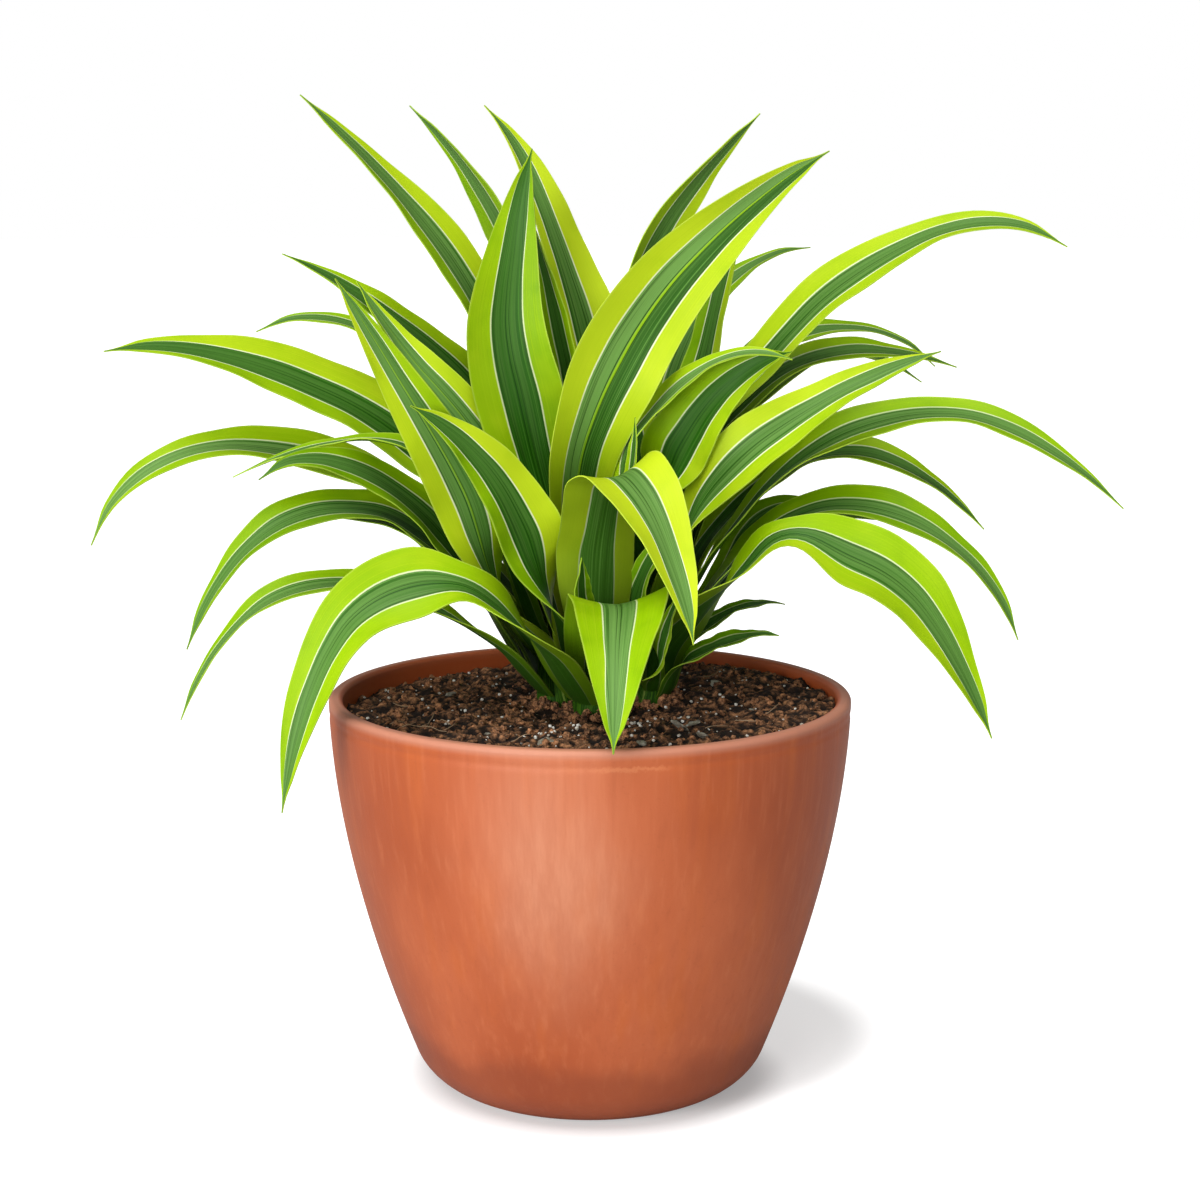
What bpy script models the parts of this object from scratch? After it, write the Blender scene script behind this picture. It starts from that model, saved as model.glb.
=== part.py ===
"""Potted dracaena: a turned clay pot filled with soil, three short shoots and their long arching leaves.

Metres, +Z up. The origin is the middle of the pot's underside, and the front of the plant faces -Y.
"""

import math

import bmesh
import bpy
from mathutils import Matrix, Vector
from mathutils.bvhtree import BVHTree

MM = 0.001

# Pot
POT_HEIGHT = 184 * MM
RIM_RADIUS = 120 * MM
FOOT_RADIUS = 74.5 * MM
FOOT_ROUNDING = 17.5 * MM
WALL_TAPER = 1.73
WALL_THICKNESS = 6.5 * MM
FLOOR_THICKNESS = 9 * MM
RIM_ROUNDING = 2 * MM
POT_SIDES = 64

# Soil
SOIL_LEVEL = 176.5 * MM
SOIL_RINGS = 10
SOIL_CRUMB = 1.3 * MM

# Play between pieces that touch
GAP = 0.3 * MM

# Shoots: where each stands in the soil, in mm across and away from the viewer
STEM_PLACES = {"left": (-15, 20), "front": (2, -8), "right": (28, 16)}
STEM_FOOT_RADIUS = 9 * MM
STEM_TOP_RADIUS = 7 * MM
STEM_DEPTH = 60 * MM
STEM_HEIGHT = 78 * MM
STEM_SIDES = 16

# Leaves
LEAF_THICKNESS = 0.8 * MM
LEAF_STATIONS = 14
LEAF_BASE_SHARE = 0.36
LEAF_WIDEST = 0.45
LEAF_TIP_WIDTH = 1.2 * MM
FOLD_AT_BASE = 10
FOLD_AT_MIDDLE = 15
LAUNCH_LOW = 35
LAUNCH_HIGH = 72
WAVE_HEIGHT = 1.3 * MM
WAVES = 3.2
FULLY_WAVED = 30 * MM
LEAF_STANDOFF = 0.4 * MM
FINE_STEPS = 24

# Play round a leaf, and the ways in which it may be bent aside: swung about its stem and leant from the front
# in degrees, its root raised and its line bowed from the front in mm
LEAF_PLAY = 0.3 * MM
SWINGS = range(-20, 21, 5)
LEANS = range(-12, 13, 4)
RISES = range(-6, 7, 3)
BOWS = range(-8, 9, 4)
LOWEST_ROOT = 3
HIGHEST_ROOT = 74

# Where the viewer of the plant's front stands, as a direction
VIEWER = Vector((0, -0.979, 0.206))

# Each leaf, in the order in which they are laid: name, stem, height of its root above the soil, width, how
# squarely its blade faces the front (1 square on, 0 edge on, None as it grows), and the points that it passes
# through to its tip. In mm: across, away from the viewer, up.
LEAVES = (
    ("leaf_front_1", "front", 12, 44, None,
     ((8, -40, 228), (13, -72, 243), (12, -108, 228), (10, -138, 187))),
    ("leaf_top_4", "front", 56, 42, 1.00, ((-19, 3, 276), (-37, 6, 342), (-35, 9, 386), (-26, 14, 431))),
    ("leaf_front_2", "front", 34, 42, 0.42,
     ((3, -24, 264), (9, -48, 295), (24, -72, 287), (37, -92, 257), (44, -104, 226))),
    ("leaf_top_7", "front", 60, 42, 0.97,
     ((-6, 0, 266), (0, -8, 302), (22, -10, 352), (60, -6, 396), (107, 2, 430))),
    ("leaf_right_6", "right", 58, 34, 0.90, ((28, 4, 270), (42, -2, 303), (63, -9, 329), (90, -16, 342))),
    ("leaf_left_12", "front", 6, 36, 0.93,
     ((-19, -38, 212), (-50, -53, 242), (-92, -61, 240), (-119, -68, 207), (-134, -75, 146))),
    ("leaf_left_4", "front", 20, 32, 0.85,
     ((-13, -30, 224), (-26, -43, 264), (-46, -51, 298), (-77, -58, 322))),
    ("leaf_left_11", "left", 4, 24, 0.50,
     ((-40, -6, 206), (-73, -8, 228), (-116, -10, 239), (-156, -20, 224), (-184, -32, 178))),
    ("leaf_right_12", "right", 12, 43, 0.88,
     ((36, -4, 208), (70, -20, 249), (107, -30, 256), (146, -40, 236), (178, -52, 174))),
    ("leaf_right_7", "front", 52, 20, 0.45,
     ((14, 0, 294), (30, -1, 318), (48, -8, 334), (68, -14, 342), (90, -20, 339))),
    ("leaf_left_3", "front", 24, 30, 0.85,
     ((-22, -15, 240), (-34, -23, 276), (-57, -24, 311), (-84, -22, 340), (-110, -18, 373))),
    ("leaf_front_3", "front", 18, 18, 0.60, ((16, -20, 222), (24, -26, 246), (38, -30, 266))),
    ("leaf_left_8", "left", 28, 20, 0.30,
     ((-30, -10, 250), (-48, -24, 284), (-84, -40, 305), (-146, -52, 286))),
    ("leaf_right_1", "right", 66, 30, 0.72,
     ((46, 16, 295), (80, 14, 340), (118, 10, 376), (170, 2, 399), (213, -6, 388))),
    ("leaf_right_4", "right", 48, 20, 0.66, ((61, 34, 302), (93, 38, 330), (121, 42, 339), (156, 48, 323))),
    ("leaf_right_3", "right", 52, 24, 0.66,
     ((51, 24, 294), (74, 26, 322), (97, 26, 336), (129, 26, 341), (169, 24, 332))),
    ("leaf_top_5", "left", 70, 22, 0.70, ((-8, 14, 300), (-16, 20, 350), (-29, 25, 404))),
    ("leaf_left_2", "left", 24, 30, 0.90,
     ((-36, -6, 230), (-57, -28, 288), (-84, -42, 340), (-108, -50, 382))),
    ("leaf_top_1", "left", 56, 30, 0.72, ((-20, 20, 285), (-40, 22, 345), (-72, 22, 397), (-130, 15, 455))),
    ("leaf_top_2", "left", 70, 27, 0.60, ((-11, 38, 296), (-30, 48, 350), (-58, 58, 407), (-95, 66, 451))),
    ("leaf_top_3", "right", 66, 30, 0.90,
     ((10, 26, 292), (4, 37, 336), (-8, 44, 376), (-27, 50, 422), (-49, 54, 451))),
    ("leaf_top_6", "right", 68, 28, 0.70, ((22, 30, 290), (20, 38, 344), (35, 46, 392), (79, 52, 447))),
    ("leaf_top_8", "right", 64, 26, 0.70,
     ((38, 20, 294), (48, 22, 323), (56, 26, 355), (64, 30, 384), (74, 34, 408))),
    ("leaf_top_9", "right", 58, 26, 0.78, ((38, 36, 300), (52, 44, 345), (79, 53, 378), (120, 62, 392))),
    ("leaf_left_1", "left", 50, 28, 0.65, ((-30, 20, 282), (-59, 17, 328), (-99, 6, 360), (-142, -2, 382))),
    ("leaf_left_5", "left", 40, 37, 0.78,
     ((-42, 16, 258), (-83, 14, 302), (-127, 6, 328), (-177, -4, 343), (-217, -12, 342))),
    ("leaf_left_6", "left", 44, 22, 0.62, ((-41, 8, 277), (-73, 4, 324), (-106, 0, 353), (-149, -10, 349))),
    ("leaf_left_7", "left", 32, 28, 0.65,
     ((-41, 26, 234), (-80, 28, 270), (-129, 19, 294), (-188, 0, 295), (-226, -10, 254))),
    ("leaf_left_9", "left", 5, 26, 0.60,
     ((-40, 19, 208), (-62, 13, 252), (-96, 4, 286), (-131, -7, 299), (-154, -14, 291))),
    ("leaf_left_10", "left", 11, 28, 0.60,
     ((-33, 28, 208), (-66, 28, 246), (-104, 19, 269), (-151, 4, 258), (-184, -10, 206))),
    ("leaf_left_13", "left", 10, 22, 0.50,
     ((-36, 36, 209), (-65, 36, 241), (-90, 30, 260), (-138, 16, 266))),
    ("leaf_right_2", "right", 50, 22, 0.66,
     ((58, 42, 308), (80, 50, 340), (112, 58, 351), (142, 64, 348), (166, 70, 332))),
    ("leaf_right_5", "right", 30, 30, 0.88,
     ((37, -10, 262), (59, -20, 294), (90, -27, 317), (120, -31, 332), (150, -34, 342))),
    ("leaf_right_8", "right", 34, 26, 0.62,
     ((58, 10, 250), (90, 8, 290), (137, 0, 313), (186, -11, 310), (238, -26, 273))),
    ("leaf_right_9", "right", 28, 24, 0.53,
     ((50, 24, 246), (80, 26, 279), (112, 24, 294), (146, 17, 288), (181, 7, 259))),
    ("leaf_right_10", "right", 20, 28, 0.60,
     ((51, 10, 224), (84, 8, 262), (123, 0, 273), (166, -14, 255), (193, -24, 213))),
    ("leaf_right_11", "right", 22, 22, 0.60, ((56, 28, 226), (73, 32, 256), (94, 34, 267), (147, 32, 259))),
    ("leaf_right_13", "right", 8, 14, 0.50, ((37, 24, 196), (54, 32, 210), (73, 40, 218), (93, 48, 217))),
    ("leaf_right_14", "right", 4, 15, 0.50, ((41, 0, 198), (57, -4, 208), (73, -8, 213), (86, -12, 213))),
    ("leaf_inner_1", "front", 20, 14, 0.50, ((-8, -22, 222), (-14, -30, 244), (-18, -36, 262))),
    ("leaf_inner_2", "front", 54, 14, 0.50, ((12, -18, 262), (18, -24, 290), (20, -28, 312))),
    ("leaf_inner_3", "right", 24, 14, 0.40, ((16, 2, 226), (10, -6, 250), (8, -12, 272))),
    ("leaf_inner_4", "right", 10, 14, 0.40, ((30, -4, 206), (34, -16, 228), (40, -24, 246))),
    ("leaf_back_1", "left", 54, 28, None, ((-20, 70, 300), (-28, 130, 315), (-40, 200, 262))),
    ("leaf_back_2", "right", 54, 28, None, ((30, 75, 300), (38, 140, 312), (50, 205, 255))),
    ("leaf_back_3", "left", 34, 28, None, ((-40, 60, 262), (-62, 110, 272), (-80, 165, 225))),
    ("leaf_back_4", "right", 40, 28, None, ((48, 62, 264), (66, 112, 270), (82, 160, 226))),
    ("leaf_back_5", "left", 18, 28, None, ((-22, 66, 235), (-30, 115, 235), (-42, 165, 190))),
    ("leaf_back_6", "right", 24, 28, None, ((36, 68, 235), (44, 120, 236), (50, 170, 190))),
    ("leaf_back_7", "left", 44, 28, None, ((-14, 50, 272), (-14, 92, 300), (-16, 140, 292))),
    ("leaf_back_8", "left", 60, 28, None, ((-2, 60, 296), (8, 98, 324), (12, 150, 324))),
)


def clear_scene():
    for thing in list(bpy.data.objects):
        bpy.data.objects.remove(thing)


def finish(name, colour, roughness, metallic=0.0):
    material = bpy.data.materials.new(name)
    material.use_nodes = True
    shader = material.node_tree.nodes["Principled BSDF"]
    shader.inputs["Base Color"].default_value = (*colour, 1)
    shader.inputs["Roughness"].default_value = roughness
    shader.inputs["Metallic"].default_value = metallic
    return material


def add_object(name, mesh, material, smooth=True):
    thing = bpy.data.objects.new(name, mesh)
    bpy.context.scene.collection.objects.link(thing)
    mesh.materials.append(material)
    if smooth:
        mesh.shade_smooth()
        mesh.set_sharp_from_angle(angle=math.radians(40))
    return thing


def turned(name, profile):
    """A solid turned from (radius, height) points that run from the axis up, over and down to the axis."""
    bm = bmesh.new()
    points = [bm.verts.new((radius, 0, height)) for radius, height in profile]
    edges = [bm.edges.new(pair) for pair in zip(points, points[1:])]
    bmesh.ops.spin(bm, geom=points + edges, cent=(0, 0, 0), axis=(0, 0, 1), angle=2 * math.pi, steps=POT_SIDES)
    bmesh.ops.remove_doubles(bm, verts=bm.verts, dist=1e-6)
    bmesh.ops.recalc_face_normals(bm, faces=bm.faces)
    mesh = bpy.data.meshes.new(name)
    bm.to_mesh(mesh)
    bm.free()
    return mesh


def outer_radius(height):
    """Outer radius of the pot's wall, with the foot's edge rounded off."""
    below_rim = 1 - height / POT_HEIGHT
    radius = RIM_RADIUS - (RIM_RADIUS - FOOT_RADIUS) * below_rim**WALL_TAPER
    if height < FOOT_ROUNDING:
        radius -= FOOT_ROUNDING - math.sqrt(FOOT_ROUNDING**2 - (FOOT_ROUNDING - height) ** 2)
    return radius


def inner_radius(height):
    """Inner radius of the pot's wall."""
    below_rim = 1 - height / POT_HEIGHT
    return RIM_RADIUS - WALL_THICKNESS - (RIM_RADIUS - FOOT_RADIUS) * below_rim**WALL_TAPER


def steps(start, end, count):
    return [start + (end - start) * k / count for k in range(count + 1)]


def rim_arc(middle_radius, start, end, count):
    """Points of the rounded rim, from one angle to another, about a centre just under its top."""
    centre = POT_HEIGHT - RIM_ROUNDING
    turns = [math.radians(angle) for angle in steps(start, end, count)]
    return [(middle_radius + RIM_ROUNDING * math.cos(a), centre + RIM_ROUNDING * math.sin(a)) for a in turns]


def make_pot():
    foot_heights = [FOOT_ROUNDING * (1 - math.cos(math.radians(a))) for a in (0, 22, 42, 60, 75)]
    wall_heights = steps(FOOT_ROUNDING, POT_HEIGHT - RIM_ROUNDING, 8)
    profile = [(0, FLOOR_THICKNESS), (inner_radius(FLOOR_THICKNESS), FLOOR_THICKNESS)]
    profile += [(inner_radius(z), z) for z in wall_heights]
    profile += rim_arc(inner_radius(POT_HEIGHT) + RIM_ROUNDING, 180, 90, 3)[1:]
    profile += rim_arc(outer_radius(POT_HEIGHT) - RIM_ROUNDING, 90, 0, 3)[:-1]
    profile += [(outer_radius(z), z) for z in reversed(wall_heights)]
    profile += [(outer_radius(z), z) for z in reversed(foot_heights)]
    profile.append((0, 0))
    clay = finish("fired clay", (0.56, 0.19, 0.09), 0.62)
    return add_object("pot", turned("pot", profile), clay)


def soil_height(x, y):
    """Height of the soil: low at the back left, heaped at the back right, hollow round the shoots, crumbly."""
    reach = math.hypot(x, y) / RIM_RADIUS
    slope = 2.0 * MM * (x - 0.6 * y) / RIM_RADIUS
    heap = 3.0 * MM * math.exp(-(((x - 0.065) / 0.035) ** 2 + ((y - 0.055) / 0.035) ** 2))
    hollow = 4.0 * MM * math.exp(-((reach / 0.34) ** 2))
    crumbs = math.sin(331 * x + 2.1 * math.sin(197 * y)) + math.sin(277 * y + 1.7 * math.sin(241 * x + 1.3))
    fine = math.sin(613 * x + 91 * y) * math.sin(547 * y - 83 * x)
    return SOIL_LEVEL + slope + heap - hollow + SOIL_CRUMB * (0.6 * crumbs + 0.5 * fine)


def make_soil():
    """The potting mix: a plug that fills the pot with its play, with a crumbly top and a hole for each stem."""
    edge = inner_radius(SOIL_LEVEL) - GAP
    bm = bmesh.new()
    loops = []
    for z in steps(FLOOR_THICKNESS + GAP, SOIL_LEVEL - 8 * MM, 6):
        wall = inner_radius(z) - GAP
        loops.append([bm.verts.new((wall * math.cos(a), wall * math.sin(a), z)) for a in turn_angles()])
    for k in range(SOIL_RINGS):
        radius = edge * (1 - k / SOIL_RINGS)
        ring = []
        for a in turn_angles():
            x = radius * math.cos(a)
            y = radius * math.sin(a)
            z = soil_height(x, y)
            if k == 0:
                rim = inner_radius(z) - GAP
                x = rim * math.cos(a)
                y = rim * math.sin(a)
            ring.append(bm.verts.new((x, y, z)))
        loops.append(ring)
    for lower, upper in zip(loops, loops[1:]):
        for k in range(POT_SIDES):
            following = (k + 1) % POT_SIDES
            bm.faces.new((lower[k], lower[following], upper[following], upper[k]))
    for ring, height in ((loops[0], FLOOR_THICKNESS + GAP), (loops[-1], soil_height(0, 0))):
        centre = bm.verts.new((0, 0, height))
        for k in range(POT_SIDES):
            bm.faces.new((ring[k], ring[(k + 1) % POT_SIDES], centre))
    bmesh.ops.triangulate(bm, faces=bm.faces)
    bmesh.ops.recalc_face_normals(bm, faces=bm.faces)
    mesh = bpy.data.meshes.new("soil")
    bm.to_mesh(mesh)
    bm.free()
    soil = add_object("soil", mesh, finish("potting soil", (0.045, 0.025, 0.016), 0.95), smooth=False)
    for side, place in STEM_PLACES.items():
        cutter = stem_solid("hole_" + side, place, GAP, 40 * MM)
        cutter.hide_render = True
        cutter.display_type = "WIRE"
        hole = soil.modifiers.new("hole_" + side, "BOOLEAN")
        hole.operation = "DIFFERENCE"
        hole.object = cutter
    return soil


def turn_angles():
    return [2 * math.pi * k / POT_SIDES for k in range(POT_SIDES)]


def stem_radius(height):
    """Radius of a stem at a height above the soil; it is straight below the soil and tapers above."""
    return STEM_FOOT_RADIUS + (STEM_TOP_RADIUS - STEM_FOOT_RADIUS) * max(0.0, height) / STEM_HEIGHT


def stem_solid(name, place, play, above_soil):
    """A round stem from its buried end up to a height above the soil, grown by some play all round."""
    x = place[0] * MM
    y = place[1] * MM
    levels = [(stem_radius(0) + play, -STEM_DEPTH - play)]
    levels += [(stem_radius(h) + play, h) for h in steps(0, above_soil, 4)]
    bm = bmesh.new()
    loops = []
    for radius, height in levels:
        ring = []
        for k in range(STEM_SIDES):
            a = 2 * math.pi * k / STEM_SIDES
            ring.append(bm.verts.new((x + radius * math.cos(a), y + radius * math.sin(a), SOIL_LEVEL + height)))
        loops.append(ring)
    for lower, upper in zip(loops, loops[1:]):
        for k in range(STEM_SIDES):
            following = (k + 1) % STEM_SIDES
            bm.faces.new((lower[k], lower[following], upper[following], upper[k]))
    bm.faces.new(list(reversed(loops[0])))
    peak = bm.verts.new((x, y, SOIL_LEVEL + above_soil + 3 * MM))
    for k in range(STEM_SIDES):
        bm.faces.new((loops[-1][k], loops[-1][(k + 1) % STEM_SIDES], peak))
    bmesh.ops.recalc_face_normals(bm, faces=bm.faces)
    mesh = bpy.data.meshes.new(name)
    bm.to_mesh(mesh)
    bm.free()
    return add_object(name, mesh, finish(name, (0.10, 0.20, 0.03), 0.6))


def smooth_line(root, launch, points):
    """A smooth line from the root, along its launch direction, through the points, as even stations."""
    knots = [root] + points
    slopes = [launch * (knots[1] - knots[0]).length]
    for before, here, after in zip(knots, knots[1:], knots[2:]):
        along = (after - before).normalized()
        slopes.append(along * min((here - before).length, (after - here).length) * 1.15)
    slopes.append((knots[-1] - knots[-2]) * 2 - slopes[-1])
    fine = []
    for k in range(len(knots) - 1):
        for step in range(FINE_STEPS):
            t = step / FINE_STEPS
            a = 2 * t**3 - 3 * t**2 + 1
            b = t**3 - 2 * t**2 + t
            c = -2 * t**3 + 3 * t**2
            d = t**3 - t**2
            fine.append(a * knots[k] + b * slopes[k] + c * knots[k + 1] + d * slopes[k + 1])
    fine.append(knots[-1])
    lengths = [0.0]
    for before, here in zip(fine, fine[1:]):
        lengths.append(lengths[-1] + (here - before).length)
    stations = []
    k = 0
    for n in range(LEAF_STATIONS):
        wanted = lengths[-1] * n / (LEAF_STATIONS - 1)
        while k < len(fine) - 2 and lengths[k + 1] < wanted:
            k += 1
        share = (wanted - lengths[k]) / (lengths[k + 1] - lengths[k])
        stations.append(fine[k].lerp(fine[k + 1], share))
    return stations


def ease(value, start, end):
    """Rises smoothly from 0 at start to 1 at end."""
    t = min(1.0, max(0.0, (value - start) / (end - start)))
    return t * t * (3 - 2 * t)


def leaf_width(share, width):
    """Width of a leaf at a share of its length: narrow at the clasping base, widest near the middle."""
    if share < LEAF_WIDEST:
        form = LEAF_BASE_SHARE + (1 - LEAF_BASE_SHARE) * math.sin(math.pi / 2 * share / LEAF_WIDEST) ** 1.2
    else:
        form = 1 - ((share - LEAF_WIDEST) / (1 - LEAF_WIDEST)) ** 1.6
    return max(LEAF_TIP_WIDTH, width * form)


def leaf_frames(stations, inward, face):
    """For each station the side of the blade and the way that its upper face looks."""
    last = len(stations) - 1
    ways = [(stations[min(k + 1, last)] - stations[max(k - 1, 0)]).normalized() for k in range(last + 1)]
    ups = []
    up = inward
    for way in ways:
        up = (up - way * up.dot(way)).normalized()
        ups.append(up)
    roll = 0.0
    if face is not None:
        middle = len(stations) // 2
        side = ways[middle].cross(ups[middle])
        towards = ups[middle].dot(VIEWER)
        aside = side.dot(VIEWER)
        spread = math.acos(min(1.0, face / math.hypot(towards, aside)))
        straight = math.atan2(aside, towards)
        roll = min((straight - spread, straight + spread), key=abs)
    frames = []
    for k, (way, up) in enumerate(zip(ways, ups)):
        turn = roll * ease(k / last, 0.05, 0.5)
        face_way = up * math.cos(turn) + way.cross(up) * math.sin(turn)
        frames.append((way.cross(face_way), face_way))
    return frames


def leaf_points(stations, frames, width, number, play=0.0):
    """Six points at each station of a channelled, waved blade: three across its upper face, three below."""
    last = len(stations) - 1
    points = []
    for k, (place, (side, up)) in enumerate(zip(stations, frames)):
        share = k / last
        half = leaf_width(share, width) / 2 + play
        fold = math.radians(FOLD_AT_BASE + (FOLD_AT_MIDDLE - FOLD_AT_BASE) * ease(share, 0.0, 0.4))
        swell = WAVE_HEIGHT * min(1.0, width / FULLY_WAVED) * ease(share, 0.12, 0.4) * (1 - ease(share, 0.75, 1.0))
        sink = ease(share, 0.0, 0.3)
        upper = []
        for hand in (-1, 0, 1):
            wave = swell * math.sin(2 * math.pi * WAVES * share + number * 1.7 + hand * 1.1) * abs(hand)
            rise = (abs(hand) - sink) * half * math.sin(fold) + wave + play
            upper.append(place + side * hand * half * math.cos(fold) + up * rise)
        thick = LEAF_THICKNESS + 2 * play
        points += upper + [point - up * thick for point in upper]
    return points


def leaf_faces():
    """Triangles over those points, alike on both faces of the blade, with blunt edges and ends."""
    faces = []
    for k in range(LEAF_STATIONS - 1):
        near = range(6 * k, 6 * k + 6)
        far = range(6 * k + 6, 6 * k + 12)
        for a, b in ((0, 1), (1, 2), (3, 0), (2, 5)):
            faces += [(near[a], near[b], far[b]), (near[a], far[b], far[a])]
        for a, b in ((3, 4), (4, 5)):
            faces += [(near[a], far[b], near[b]), (near[a], far[a], far[b])]
    tip = 6 * (LEAF_STATIONS - 1)
    for a, b, c, d in ((0, 1, 4, 3), (1, 2, 5, 4)):
        faces += [(a, c, b), (a, d, c)]
        faces += [(tip + a, tip + b, tip + c), (tip + a, tip + c, tip + d)]
    return faces


def leaf_line(stem, height, points, swing, lean, bow):
    """The line of a leaf swung round its stem, leant and bowed away from the front, and its inward way."""
    axis = Vector((STEM_PLACES[stem][0], STEM_PLACES[stem][1], 0)) * MM
    pivot = axis + Vector((0, 0, SOIL_LEVEL + height * MM))
    turn = Matrix.Rotation(math.radians(swing), 3, "Z") @ Matrix.Rotation(math.radians(-lean), 3, "X")
    places = [pivot + turn @ (Vector(point) * MM - pivot) for point in points]
    for k, place in enumerate(places[:-1]):
        place.y += bow * MM * (1 - k / (len(places) - 1))
    way_out = (places[0] - axis) * Vector((1, 1, 0))
    way_out.normalize()
    angle = math.radians(LAUNCH_LOW + (LAUNCH_HIGH - LAUNCH_LOW) * height * MM / STEM_HEIGHT)
    launch = way_out * math.cos(angle) + Vector((0, 0, math.sin(angle)))
    root = pivot + way_out * (stem_radius(height * MM) + LEAF_STANDOFF)
    return smooth_line(root, launch, places), -way_out


def bends():
    """The ways in which a leaf may be bent aside, from the least to the most."""
    ways = [(swing, lean, rise, bow) for swing in SWINGS for lean in LEANS for rise in RISES for bow in BOWS]
    return sorted(ways, key=lambda way: (how_far(*way), way))


def how_far(swing, lean, rise, bow):
    """How much such a bend shows."""
    return abs(swing) + 1.5 * abs(lean) + 0.7 * abs(rise) + abs(bow)


def lay_leaf(number, leaf, ways, holders, laid):
    """Lays a leaf at its place, or bent aside by as little as keeps it clear of all that is there already."""
    name, stem, height, width, face, points = leaf
    faces = leaf_faces()
    for swing, lean, rise, bow in ways:
        if not LOWEST_ROOT <= height + rise <= HIGHEST_ROOT:
            continue
        stations, inward = leaf_line(stem, height + rise, points, swing, lean, bow)
        frames = leaf_frames(stations, inward, face)
        blade = leaf_points(stations, frames, width * MM, number)
        body = BVHTree.FromPolygons(blade, faces)
        if any(body.overlap(holder) for holder in holders):
            continue
        body = BVHTree.FromPolygons(leaf_points(stations, frames, width * MM, number, LEAF_PLAY), faces)
        if any(body.overlap(other) for other in laid):
            continue
        laid.append(body)
        mesh = bpy.data.meshes.new(name)
        mesh.from_pydata(blade, [], faces)
        return add_object(name, mesh, finish(name, (0.13, 0.33, 0.03), 0.4))
    return None


def surface_tree(thing):
    corners = [vertex.co.copy() for vertex in thing.data.vertices]
    return BVHTree.FromPolygons(corners, [tuple(face.vertices) for face in thing.data.polygons])


clear_scene()
pot = make_pot()
soil = make_soil()
stems = [stem_solid("stem_" + side, place, 0.0, STEM_HEIGHT) for side, place in STEM_PLACES.items()]
standing = [surface_tree(thing) for thing in [pot, soil] + stems]
ways_aside = bends()
leaves = []
for leaf_number, leaf in enumerate(LEAVES):
    lay_leaf(leaf_number, leaf, ways_aside, standing, leaves)
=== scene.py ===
"""A bushy dracaena with green and lime striped leaves, in a clay pot of soil, on a white studio floor.

Metres, +Z up, the origin under the middle of the pot, and the front of the plant facing -Y, as in the solids.
Colours are in linear light.
"""

import math
import random

import bmesh
import bpy
from mathutils import Euler, Matrix, Vector, noise


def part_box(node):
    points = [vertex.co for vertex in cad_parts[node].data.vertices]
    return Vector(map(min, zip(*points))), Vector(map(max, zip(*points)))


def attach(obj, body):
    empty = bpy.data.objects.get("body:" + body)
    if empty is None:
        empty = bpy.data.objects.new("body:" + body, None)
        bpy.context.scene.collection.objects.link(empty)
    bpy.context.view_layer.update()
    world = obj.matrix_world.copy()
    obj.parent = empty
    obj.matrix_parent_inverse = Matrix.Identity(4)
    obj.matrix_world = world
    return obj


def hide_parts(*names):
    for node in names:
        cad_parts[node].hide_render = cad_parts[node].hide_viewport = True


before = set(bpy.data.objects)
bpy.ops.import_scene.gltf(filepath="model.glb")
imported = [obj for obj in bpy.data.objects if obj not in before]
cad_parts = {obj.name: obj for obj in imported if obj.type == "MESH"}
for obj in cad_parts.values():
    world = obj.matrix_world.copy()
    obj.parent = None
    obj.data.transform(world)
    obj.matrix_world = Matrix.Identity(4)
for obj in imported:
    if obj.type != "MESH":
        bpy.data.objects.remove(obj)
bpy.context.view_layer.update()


# ---- The studio --------------------------------------------------------------------------------------------
# The camera stands in front, a little above the leaves. A wide light falls from the upper left, a round panel
# stands at the front left and a smaller one high in front, and the white room fills the shadows. The paper
# floor glows towards the camera, less so in a soft round patch under and behind the pot: a painted shadow.

MM = 0.001

CAMERA_PLACE = (0.0046, -1.1744, 0.430)
CAMERA_DIP = 9.8
LENS_LENGTH = 78
FILM_WIDTH = 36
LIT_POINT = Vector((0, 0, 0.2))

FLOOR_RADIUS = 12
FLOOR_GAP = 0.2 * MM
PAPER = (0.62, 0.62, 0.62, 1)
WHITE = (1, 1, 1, 1)
PAINTED_SHADOW_MIDDLE = (0.026, 0.060, 0)
ROOM_LIGHT = 0.25

bpy.ops.object.select_all(action="DESELECT")
bpy.ops.object.camera_add(location=CAMERA_PLACE, rotation=(math.radians(90 - CAMERA_DIP), 0, 0))
camera = bpy.context.object
camera.name = "camera"
camera.data.lens = LENS_LENGTH
camera.data.sensor_width = FILM_WIDTH
camera.data.clip_end = 100
bpy.context.scene.camera = camera


def add_node(tree, kind, inputs=(), **settings):
    """A node with its settings and its inputs, each a number, a colour or another node's output."""
    made = tree.nodes.new("ShaderNode" + kind)
    for name, value in settings.items():
        setattr(made, name, value)
    for name, value in dict(inputs).items():
        if isinstance(value, bpy.types.NodeSocket):
            tree.links.new(value, made.inputs[name])
        else:
            made.inputs[name].default_value = value
    return made


def new_finish(name, inputs=()):
    """A new material, with its tree and its shader, whose inputs that are the same all over are set."""
    finish = bpy.data.materials.new(name)
    finish.use_nodes = True
    shader = finish.node_tree.nodes["Principled BSDF"]
    for socket, value in dict(inputs).items():
        shader.inputs[socket].default_value = value
    return finish, finish.node_tree, shader


def coordinates(tree, kind="Object"):
    return add_node(tree, "TexCoord").outputs[kind]


def length_of(tree, vector):
    return add_node(tree, "VectorMath", {0: vector}, operation="LENGTH").outputs["Value"]


def maths(tree, operation, first, second=0.0):
    return add_node(tree, "Math", {0: first, 1: second}, operation=operation).outputs[0]


def times(tree, first, second):
    return maths(tree, "MULTIPLY", first, second)


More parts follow.
